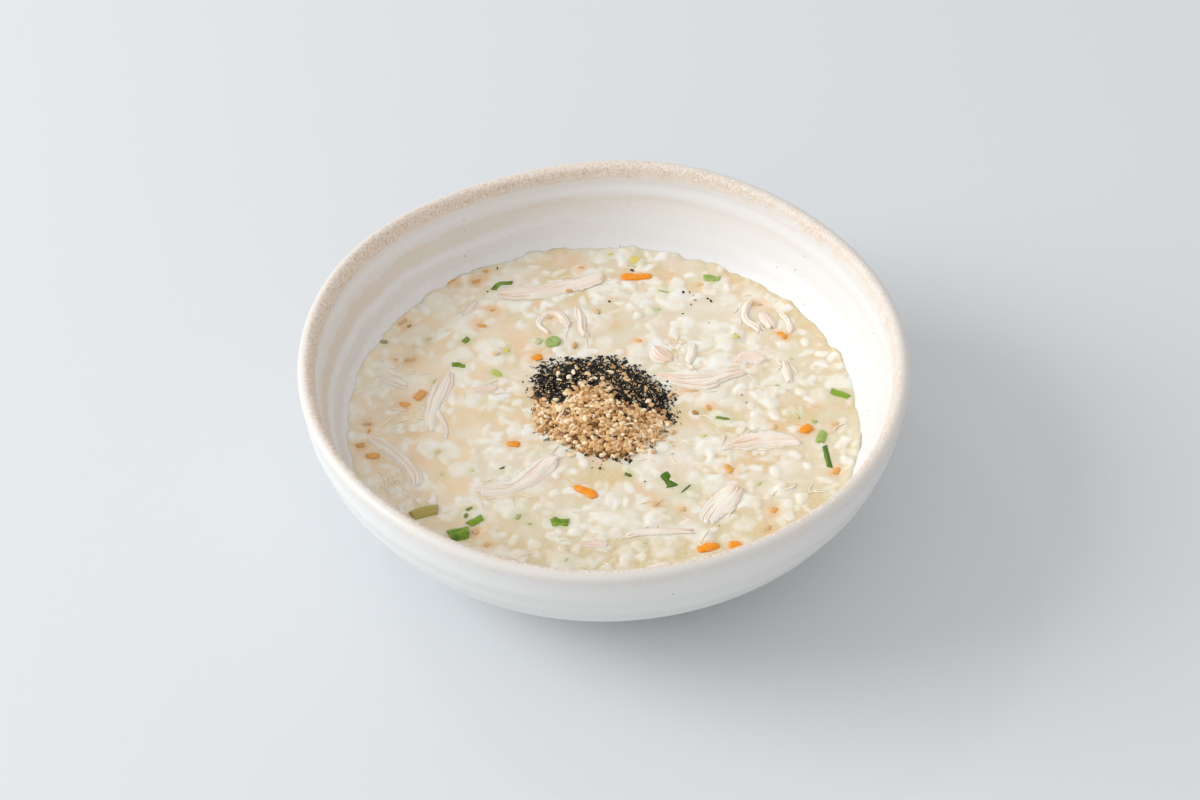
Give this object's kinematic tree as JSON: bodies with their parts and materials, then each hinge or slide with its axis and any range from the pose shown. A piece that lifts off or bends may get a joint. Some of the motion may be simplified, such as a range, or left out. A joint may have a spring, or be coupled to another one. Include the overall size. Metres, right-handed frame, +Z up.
{
  "type": "congee bowl",
  "caption": "Wide hand-thrown stoneware bowl filled with rice porridge, pulled chicken, carrot and spring onion bits, with crushed seaweed and ground sesame heaped in the middle.",
  "frame": {"origin": "on the resting surface under the centre of the foot ring, on the bowl's axis", "axes": "+Z up along the bowl's axis; +Y to the far side of the table, with the seaweed heap behind the sesame heap; +X to the diner's right"},
  "size_m": [0.2, 0.2, 0.0613],
  "materials": {
    "stoneware_glaze": "off-white semi-matte glaze with thin beige bands, speckled beige lip",
    "rice_porridge": "wet, glossy and slightly translucent, whole soft grains in thick beige liquid",
    "pulled_chicken": "moist fibrous pale pink-cream meat",
    "carrot": "wet cooked carrot, orange",
    "spring_onion": "wet cooked spring onion leaf, mid to dark green",
    "crushed_seaweed": "dry roasted seaweed crushed to small black-green flakes",
    "ground_sesame": "dry toasted sesame, whole and crushed, golden"
  },
  "bodies": {
    "root": {"bowl": "stoneware_glaze", "carrot_back": "carrot", "carrot_cube": "carrot", "carrot_edge": "carrot", "carrot_front": "carrot", "carrot_left": "carrot", "carrot_right": "carrot", "chicken_corner": "pulled_chicken", "chicken_curl": "pulled_chicken", "chicken_curl_core": "pulled_chicken", "chicken_curl_side": "pulled_chicken", "chicken_edge": "pulled_chicken", "chicken_flag": "pulled_chicken", "chicken_flake": "pulled_chicken", "chicken_flake_side": "pulled_chicken", "chicken_folded": "pulled_chicken", "chicken_forked": "pulled_chicken", "chicken_frayed": "pulled_chicken", "chicken_long": "pulled_chicken", "chicken_loop": "pulled_chicken", "chicken_pale": "pulled_chicken", "chicken_rosy": "pulled_chicken", "chicken_slip": "pulled_chicken", "chicken_small": "pulled_chicken", "chicken_strand": "pulled_chicken", "chicken_sunk": "pulled_chicken", "chicken_thin": "pulled_chicken", "chicken_upright": "pulled_chicken", "chicken_wide": "pulled_chicken", "congee": "rice_porridge", "onion_far_left": "spring_onion", "onion_far_right": "spring_onion", "onion_front": "spring_onion", "onion_front_fold": "spring_onion", "onion_front_left": "spring_onion", "onion_left": "spring_onion", "onion_middle": "spring_onion", "onion_right": "spring_onion", "onion_right_fold": "spring_onion", "onion_right_strip": "spring_onion", "onion_ring": "spring_onion", "onion_stalk": "spring_onion", "seaweed_heap": "crushed_seaweed", "sesame_heap": "ground_sesame"}
  },
  "joints": []
}
